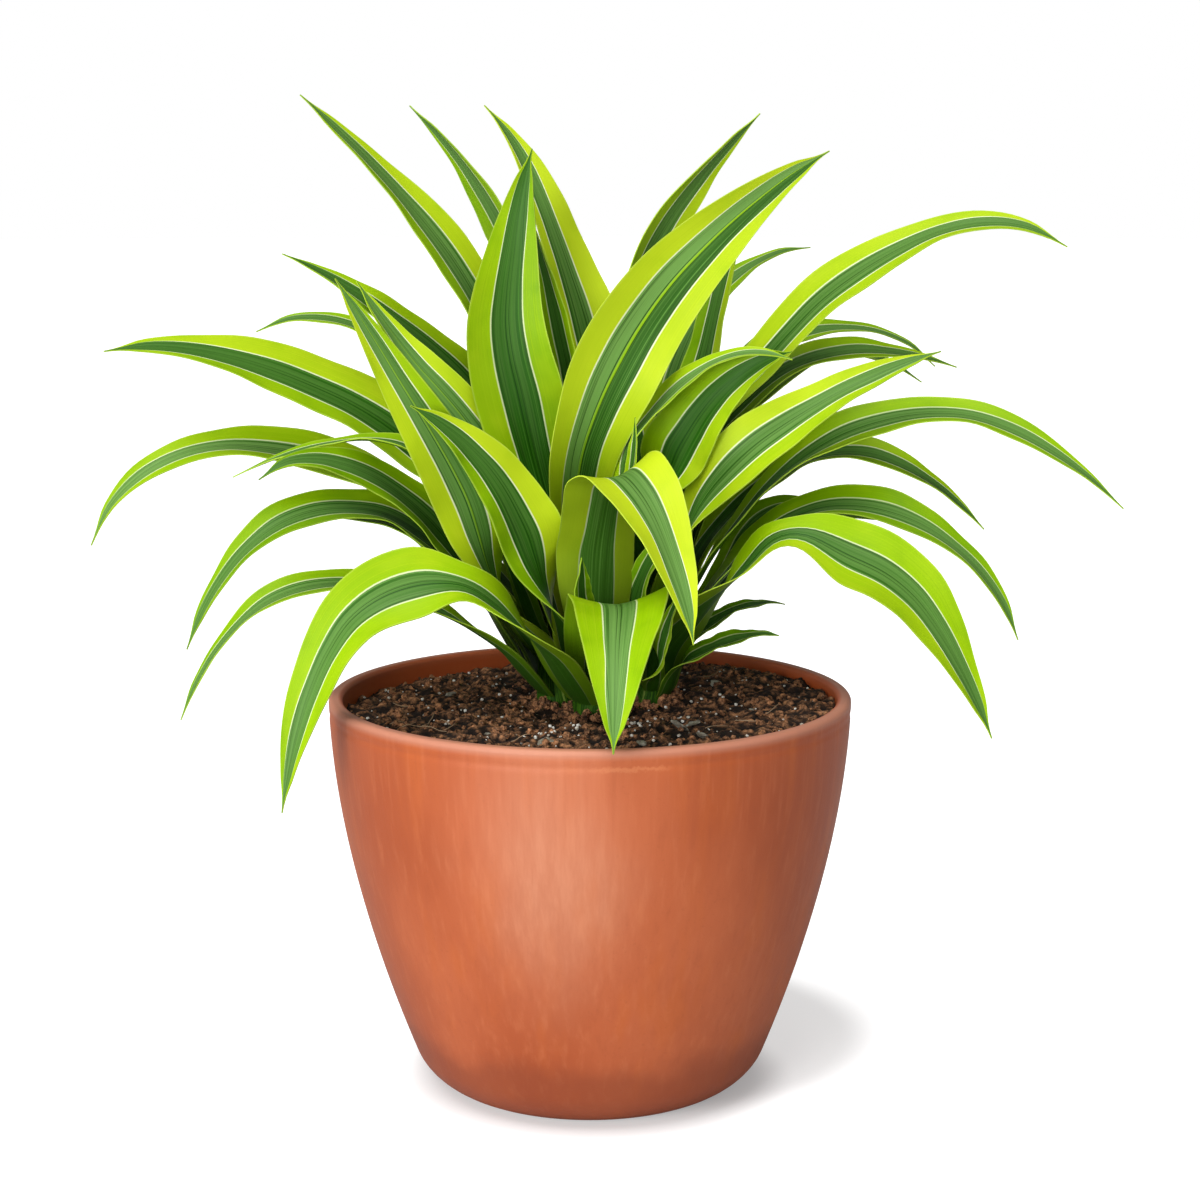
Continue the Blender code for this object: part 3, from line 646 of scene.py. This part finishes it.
# For each leaf, how yellow its left and right margins are when it is seen from above with its tip away
# (0 deep green, 1 lime yellow), the dark band's share of the width, its offset to the right, how light the
# band is, partly its own grey-green and partly painted sheen, and for some how clearly a crease parts it
# into a light left and a dark right half, painted light and shade of the fold.
MARKINGS = {
    "front_1": (0.50, 0.52, 0.36, 0.03, 0.75),
    "front_2": (1.00, 0.98, 0.40, 0.00, 0.75),
    "front_3": (0.25, 0.25, 0.50, 0.00, 0.10),
    "top_1": (0.42, 0.80, 0.42, -0.04, 0.60),
    "top_2": (0.36, 0.42, 0.42, 0.00, 0.55),
    "top_3": (0.85, 0.95, 0.40, -0.16, 0.60),
    "top_4": (0.56, 0.42, 0.42, 0.03, 0.12),
    "top_5": (0.40, 0.42, 0.44, 0.00, 0.15),
    "top_6": (0.62, 0.78, 0.42, 0.00, 0.50),
    "top_7": (0.92, 0.84, 0.46, 0.04, 0.45, 1.0),
    "top_8": (0.30, 0.72, 0.44, -0.05, 0.25),
    "top_9": (0.42, 0.38, 0.44, 0.00, 0.55),
    "inner_1": (0.45, 0.40, 0.44, 0.00, 0.15),
    "inner_2": (0.60, 0.50, 0.44, 0.00, 0.15),
    "inner_3": (0.35, 0.55, 0.44, 0.00, 0.10),
    "inner_4": (0.30, 0.40, 0.44, 0.00, 0.10),
    "left_1": (0.35, 0.60, 0.46, 0.00, 0.20),
    "left_2": (0.84, 0.55, 0.42, 0.05, 0.35, 0.5),
    "left_3": (0.45, 0.82, 0.46, -0.05, 0.50, 0.4),
    "left_4": (0.38, 0.92, 0.44, -0.10, 0.20),
    "left_5": (0.52, 0.76, 0.42, -0.02, 0.18),
    "left_6": (0.40, 0.45, 0.46, 0.00, 0.45),
    "left_7": (0.52, 0.55, 0.38, 0.00, 0.80),
    "left_8": (0.38, 0.42, 0.42, 0.00, 0.45),
    "left_9": (0.30, 0.36, 0.46, 0.00, 0.35),
    "left_10": (0.30, 0.42, 0.44, 0.00, 0.50),
    "left_11": (0.35, 0.40, 0.46, 0.00, 0.65),
    "left_12": (0.55, 0.52, 0.38, 0.00, 0.50),
    "left_13": (0.28, 0.30, 0.46, 0.00, 0.30),
    "right_1": (0.74, 0.66, 0.42, 0.00, 0.50),
    "right_2": (0.42, 0.40, 0.46, 0.00, 0.50),
    "right_3": (0.52, 0.42, 0.44, 0.00, 0.50),
    "right_4": (0.45, 0.40, 0.46, 0.00, 0.40),
    "right_5": (0.84, 0.64, 0.42, 0.00, 0.60),
    "right_6": (0.48, 0.62, 0.46, 0.04, 0.05),
    "right_7": (0.62, 0.48, 0.44, 0.06, 0.80),
    "right_8": (0.46, 0.42, 0.42, 0.00, 0.60),
    "right_9": (0.58, 0.46, 0.44, 0.00, 0.40),
    "right_10": (0.34, 0.32, 0.42, 0.00, 0.60),
    "right_11": (0.28, 0.28, 0.46, 0.00, 0.40),
    "right_12": (0.52, 0.60, 0.38, 0.00, 0.45),
    "right_13": (0.18, 0.14, 0.50, 0.00, 0.20),
    "right_14": (0.18, 0.14, 0.50, 0.00, 0.30),
    "back_1": (0.45, 0.50, 0.42, 0.00, 0.50),
    "back_2": (0.55, 0.45, 0.42, 0.00, 0.40),
    "back_3": (0.40, 0.45, 0.42, 0.00, 0.50),
    "back_4": (0.50, 0.40, 0.42, 0.00, 0.40),
    "back_5": (0.38, 0.42, 0.44, 0.00, 0.50),
    "back_6": (0.42, 0.38, 0.44, 0.00, 0.40),
    "back_7": (0.60, 0.55, 0.42, 0.00, 0.45),
    "back_8": (0.65, 0.60, 0.42, 0.00, 0.45),
}

# Two blades turn edge-on where they arch over: the share along the leaf, how far that reaches, the width that
# is lost there and the lean to the left or right edge.
FOLDS = {"right_12": (0.42, 0.09, 0.62, -0.38), "left_12": (0.38, 0.06, 0.35, 0.10)}
NO_FOLD = (0, 1, 0, 0)

DEEP_MARGIN = Vector((0.050, 0.205, 0.001))
FRESH_MARGIN = Vector((0.285, 0.500, 0.001))
LIME_MARGIN = Vector((0.550, 0.690, 0.015))
DARK_BAND = Vector((0.013, 0.095, 0.000))
GREY_BAND_AND_SHEEN = Vector((0.160, 0.320, 0.070))
GREEN_LINE = Vector((0.50, 0.62, 0.20))
WHITE_LINE = Vector((0.88, 0.93, 0.62))
THIN_EDGE = (0.56, 0.72, 0.10)
DULL_SHADED_UNDERSIDE = (0.035, 0.120, 0.004)
LINE_WIDTH = 0.36 * MM
EDGE_WIDTH = 0.5 * MM

# How often each pattern repeats across and along a blade.
VEINS = (40, 1.1, 0)
FINE_VEINS = (110, 1.8, 0)
PALE_STREAKS = (9, 1.0, 0)
BLOTCHES = (1.6, 7, 0)


def margin_colour(yellowness):
    if yellowness < 0.5:
        return DEEP_MARGIN.lerp(FRESH_MARGIN, 2 * yellowness)
    return FRESH_MARGIN.lerp(LIME_MARGIN, 2 * yellowness - 1)


def leaf_finish(name, markings, half_width, under):
    """The striped skin of a leaf, or of its duller underside with painted shade, laid out by the blade's own
    map.
    """
    left, right, band, offset, lightness, *crease = markings
    finish, tree, shader = new_finish(name, {"Specular IOR Level": 0.10})
    blade_map = coordinates(tree, "UV")
    parts = add_node(tree, "SeparateXYZ", {0: blade_map})
    along = parts.outputs["Y"]
    sway = swing(tree, grain(tree, stretched(tree, blade_map, (0, 1, 0)), 5, 1), 0.09)
    across = plus(tree, minus(tree, times(tree, parts.outputs["X"], 2), 1), sway)
    from_middle = unsigned(tree, minus(tree, across, offset))
    to_right = between(tree, across, offset - 0.05, offset + 0.05)

    # The band starts wide, narrows as the blade grows out of its foot, and fills the tip.
    grown = between(tree, along, 0.0, 0.32)
    half_band = plus(tree, between(tree, along, 0.0, 0.3, 0.16, 0.0), band)
    half_band = plus(tree, half_band, times(tree, between(tree, along, 0.72, 1.0), 0.24))
    beyond = minus(tree, from_middle, half_band)

    veins = grain(tree, stretched(tree, blade_map, VEINS), 1, 2, 0.55)
    fine_veins = grain(tree, stretched(tree, blade_map, FINE_VEINS), 1, 2, 0.6)
    pale_streaks = grain(tree, stretched(tree, blade_map, PALE_STREAKS), 1, 2, 0.5)
    blotches = grain(tree, stretched(tree, blade_map, BLOTCHES), 1, 2, 0.5)

    # The band runs from dark green to grey-green, partly its own colour and partly painted sheen: lighter
    # along its middle and outer part, darker towards its foot, and broken by broad streaks.
    dark = DARK_BAND.lerp(GREY_BAND_AND_SHEEN, lightness * 0.22)
    light = DARK_BAND.lerp(GREY_BAND_AND_SHEEN, 0.14 + 0.9 * lightness)
    sheen_and_streaks = plus(tree, between(tree, along, 0.1, 0.6, -0.16, 0.04), pale_streaks)
    heart = mix_colours(tree, between(tree, sheen_and_streaks, 0.38, 0.62), dark, light)
    # A fold painted as light and shade: the band's left half is painted lighter, its right half darker.
    if crease:
        right_half = between(tree, across, offset - 0.02, offset + 0.02, 0, crease[0])
        lit_and_shaded_halves = mix_colours(tree, right_half, GREY_BAND_AND_SHEEN * 1.2, dark * 0.9)
        crease_line = between(tree, from_middle, 0.045, 0.015, 0, 0.8 * crease[0])
        heart = lay_over(tree, heart, (crease[0] * 0.8, lit_and_shaded_halves), (crease_line, FRESH_MARGIN * 1.2))
    heart = lay_over(
        tree,
        heart,
        (between(tree, veins, 0.53, 0.70, 0, 0.7), light * 1.5),
        (between(tree, veins, 0.47, 0.32, 0, 0.9), dark * 0.5),
        (between(tree, fine_veins, 0.53, 0.68, 0, 0.5), light * 1.5),
    )

    margins = mix_colours(tree, to_right, margin_colour(left), margin_colour(right))
    yellower = mix_colours(
        tree, to_right, margin_colour(min(1, left + 0.22)), margin_colour(min(1, right + 0.22))
    )
    greener = mix_colours(
        tree, to_right, margin_colour(max(0, left - 0.2)), margin_colour(max(0, right - 0.2))
    )
    margins = lay_over(
        tree,
        margins,
        (between(tree, blotches, 0.5, 0.75, 0, 0.8), yellower),
        (between(tree, blotches, 0.48, 0.25, 0, 0.8), greener),
        (between(tree, veins, 0.5, 0.7, 0, 0.35), yellower),
        (between(tree, fine_veins, 0.5, 0.34, 0, 0.3), greener),
    )

    # The white lines fade towards the root and the tip, and a thin pale edge runs round the blade.
    line_half = LINE_WIDTH / half_width
    from_line = unsigned(tree, minus(tree, beyond, line_half * 0.3))
    line = between(tree, from_line, line_half * 1.5, line_half * 0.4)
    line = times(tree, line, between(tree, along, 0.98, 0.85))
    line = times(tree, line, plus(tree, 0.45, times(tree, grown, 0.45)))
    line = times(tree, line, between(tree, blotches, 0.3, 0.6, 0.75, 1.0))
    line_colour = GREEN_LINE.lerp(WHITE_LINE, min(1.0, (left + right) / 2 * 1.4))
    edge_half = EDGE_WIDTH / half_width
    edge = between(tree, unsigned(tree, across), 1 - edge_half * 1.6, 1 - edge_half * 0.7, 0, 0.4)
    colour = lay_over(
        tree,
        heart,
        (between(tree, beyond, -0.012, 0.012), margins),
        (line, line_colour),
        (edge, THIN_EDGE),
    )

    # Low down, between its neighbours, a blade gets little light.
    depth = plus(tree, 0.34, times(tree, grown, 0.66))
    depth = add_node(tree, "CombineXYZ", {0: depth, 1: depth, 2: depth}).outputs[0]
    colour = mix_colours(tree, 1.0, colour, depth, blend_type="MULTIPLY")
    # The underside is duller and darker: partly its own colour, partly painted shade.
    if under:
        colour = mix_colours(tree, 0.5, colour, DULL_SHADED_UNDERSIDE)
    tree.links.new(colour, shader.inputs["Base Color"])
    low_gloss, high_gloss = (0.50, 0.62) if under else (0.36, 0.50)
    roughness = between(tree, veins, 0.3, 0.7, low_gloss, high_gloss)
    tree.links.new(roughness, shader.inputs["Roughness"])
    emboss(tree, shader, plus(tree, veins, times(tree, fine_veins, 0.3)), strength=0.3, depth=0.2 * MM)
    return finish


def blade_rings(leaf):
    """The solid leaf's corners from root to tip, six to a ring: left, middle and right above, then below."""
    solid = bmesh.new()
    solid.from_mesh(leaf.data)
    bmesh.ops.remove_doubles(solid, verts=solid.verts, dist=1e-6)

    def meets(corner):
        return {edge.other_vert(corner) for edge in corner.link_edges}

    # The solid's own split into triangles tells the tip's corners apart by how many edges meet there.
    start = next(corner for corner in solid.verts if len(corner.link_edges) == 3)
    tip = sorted(solid.verts, key=lambda corner: (corner.co - start.co).length)[:6]
    above_left = next(corner for corner in tip if len(corner.link_edges) == 5)
    above_right = next(corner for corner in tip if len(corner.link_edges) == 4)
    rest = set(tip) - {start, above_left, above_right}
    below_middle = next(corner for corner in rest if corner in meets(start))
    above_middle = next(corner for corner in rest - {below_middle} if corner in meets(above_left))
    below_right = (rest - {below_middle, above_middle}).pop()
    ring = [above_left, above_middle, above_right, start, below_middle, below_right]
    rings = [ring]
    found = set(ring)
    while len(found) < len(solid.verts):
        nearer = [None] * 6
        for place in (3, 0, 4, 1, 2, 5):
            nearer[place] = (meets(ring[place]) - found).pop()
            found.add(nearer[place])
        ring = nearer
        rings.append(ring)
    corners = [[corner.co.copy() for corner in ring] for ring in reversed(rings)]
    solid.free()
    return corners


def along_line(points, share):
    """The point at a share of the way along a smooth line through evenly spaced points."""
    place = share * (len(points) - 1)
    k = min(int(place), len(points) - 2)
    t = place - k
    before = points[k - 1] if k else points[0] * 2 - points[1]
    here, there = points[k], points[k + 1]
    after = points[k + 2] if k + 2 < len(points) else points[-1] * 2 - points[-2]
    bend = (before * 2 - here * 5 + there * 4 - after) * t * t
    bend += (here * 3 - before - there * 3 + after) * t**3
    return here + ((there - before) * t + bend) / 2


def ease(value, start, end):
    t = min(1.0, max(0.0, (value - start) / (end - start)))
    return t * t * (3 - 2 * t)


def thicken(sheet, thickness, side, **settings):
    """Gives a sheet its thickness, below it for a side of -1 or half to each side for 0."""
    shell = sheet.modifiers.new("thickness", "SOLIDIFY")
    shell.thickness = thickness
    shell.offset = side
    for name, value in settings.items():
        setattr(shell, name, value)
    bpy.ops.object.modifier_apply(modifier=shell.name)


roots = []
for number, (name, markings) in enumerate(MARKINGS.items()):
    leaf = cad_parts["leaf_" + name]
    rings = blade_rings(leaf)
    roots.append(rings[0][:3])
    left_edge, keel, right_edge = ([ring[place] for ring in rings] for place in range(3))
    half_width = max((a - b).length for a, b in zip(left_edge, right_edge)) / 2
    fold_share, fold_length, loss, lean = FOLDS.get(name, NO_FOLD)
    bpy.ops.object.select_all(action="DESELECT")
    bpy.ops.mesh.primitive_grid_add(x_subdivisions=BLADE_ACROSS, y_subdivisions=BLADE_ALONG, size=2)
    blade = bpy.context.object
    blade.name = "blade_" + name
    for corner in blade.data.vertices:
        across, share = corner.co.x, (corner.co.y + 1) / 2
        left, middle, right = (along_line(line, share) for line in (left_edge, keel, right_edge))
        centre = (left + right) / 2
        sunk = middle - centre
        folded = math.exp(-(((share - fold_share) / fold_length) ** 2))
        centre += (right - left) / 2 * lean * folded
        taper = (1 - 0.75 * ease(share, 0.93, 1.0)) * (1.45 - 0.45 * ease(share, 0.0, 0.35))
        taper *= 1 - loss * folded
        half = (right - left) / 2 * taper
        waves = math.sin(41 * share + 2.3 * number), math.sin(17 * share + number)
        flutter = BLADE_FLUTTER * across**2 * waves[0] * waves[1]
        flutter *= ease(share, 0.1, 0.3) * (1 - ease(share, 0.85, 1.0))
        onward = along_line(keel, min(1, share + 0.02)) - along_line(keel, max(0, share - 0.02))
        uneven = 1 + 0.02 * noise.noise(Vector((share * 9, number, across)))
        corner.co = centre + half * across * uneven + sunk * (1 - abs(across) ** 1.6) * taper
        corner.co += onward.cross(-half).normalized() * flutter
    blade.data.materials.append(leaf_finish("leaf_skin_" + name, markings, half_width, under=False))
    blade.data.materials.append(leaf_finish("leaf_underside_" + name, markings, half_width, under=True))
    thicken(blade, BLADE_THICKNESS, -1, material_offset=1, material_offset_rim=0)
    bpy.ops.object.shade_smooth_by_angle(angle=math.radians(60))
    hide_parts(leaf.name)
    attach(blade, "root")


# ---- The shoots --------------------------------------------------------------------------------------------
# Three short green shoots. What shows of them is the feet of their leaves, which clasp them and overlap like
# scales, the oldest outermost, with narrow pale edges and lines.

CORE_SHARE = 0.92
CORE_TAPER = 0.72
FOOT_THICKNESS = 0.5 * MM
FOOT_BURIED = 7 * MM
FOOT_LAP = 1.5 * MM
TALLEST_ROOT = 80 * MM

DARK_SHEATH = (0.010, 0.050, 0.001)
GREEN_SHEATH = (0.050, 0.140, 0.006)
SHEATH_LINE = (0.30, 0.42, 0.08)
SHEATH_EDGE = (0.22, 0.36, 0.04)
LOW_BROWN_SHEATH = (0.05, 0.04, 0.015)

sheath, tree, shader = new_finish("leaf foot", {"Roughness": 0.6, "Specular IOR Level": 0.1})
foot_map = coordinates(tree, "UV")
parts = add_node(tree, "SeparateXYZ", {0: foot_map})
from_middle = unsigned(tree, minus(tree, times(tree, parts.outputs["X"], 2), 1))
from_line = unsigned(tree, minus(tree, from_middle, 0.6))
veins = grain(tree, stretched(tree, foot_map, (34, 1.0, 0)), 1, 2, 0.6)
colour = lay_over(
    tree,
    mix_colours(tree, between(tree, veins, 0.35, 0.65), DARK_SHEATH, GREEN_SHEATH),
    (between(tree, from_line, 0.05, 0.02, 0, 0.55), SHEATH_LINE),
    (between(tree, from_middle, 0.9, 0.97, 0, 0.6), SHEATH_EDGE),
    # Darker and browner towards the soil end.
    (between(tree, parts.outputs["Y"], 0.3, 0.0, 0, 0.6), LOW_BROWN_SHEATH),
)
tree.links.new(colour, shader.inputs["Base Color"])
emboss(tree, shader, veins, strength=0.3, depth=0.3 * MM)

for side in SHOOTS:
    low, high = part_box("stem_" + side)
    axis = Vector(((low.x + high.x) / 2, (low.y + high.y) / 2, 0))
    shoot_radius = (high.x - low.x) / 2
    bpy.ops.object.select_all(action="DESELECT")
    bpy.ops.mesh.primitive_cylinder_add(vertices=24, radius=shoot_radius * CORE_SHARE, depth=high.z - low.z)
    core = bpy.context.object
    for corner in core.data.vertices:
        if corner.co.z > 0:
            corner.co.x *= CORE_TAPER
            corner.co.y *= CORE_TAPER
        corner.co += Vector((axis.x, axis.y, (low.z + high.z) / 2))
    feet = [core]
    for left, root, right in roots:
        outward = (root - axis) * Vector((1, 1, 0))
        if outward.length > shoot_radius + 2 * MM:
            continue
        rise = root.z - SOIL_LEVEL
        heading = math.atan2(outward.y, outward.x)
        root_half = (right - left).length / 2
        layer = (0.4 + 1.4 * (1 - rise / TALLEST_ROOT)) * MM
        bpy.ops.object.select_all(action="DESELECT")
        bpy.ops.mesh.primitive_grid_add(x_subdivisions=10, y_subdivisions=10, size=2)
        foot = bpy.context.object
        for corner in foot.data.vertices:
            across, share = corner.co.x, (corner.co.y + 1) / 2
            level = SOIL_LEVEL - FOOT_BURIED + (rise + FOOT_BURIED + FOOT_LAP) * share
            body = shoot_radius + (outward.length - 0.4 * MM - shoot_radius) * share
            opened = ease(share, 0.1, 1.0)
            wrap = (1 - opened) * 1.5 + opened * root_half / outward.length
            turn = heading + across * wrap
            radius = body + layer * (1 - 0.75 * share) - 0.5 * MM * across**2
            corner.co = axis + Vector((radius * math.cos(turn), radius * math.sin(turn), level))
        thicken(foot, FOOT_THICKNESS, 0)
        feet.append(foot)
    shoot = join_up("shoot_" + side, feet)
    bpy.ops.object.shade_smooth_by_angle(angle=math.radians(60))
    shoot.data.materials.clear()
    shoot.data.materials.append(sheath)
    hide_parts("stem_" + side)
    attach(shoot, "root")
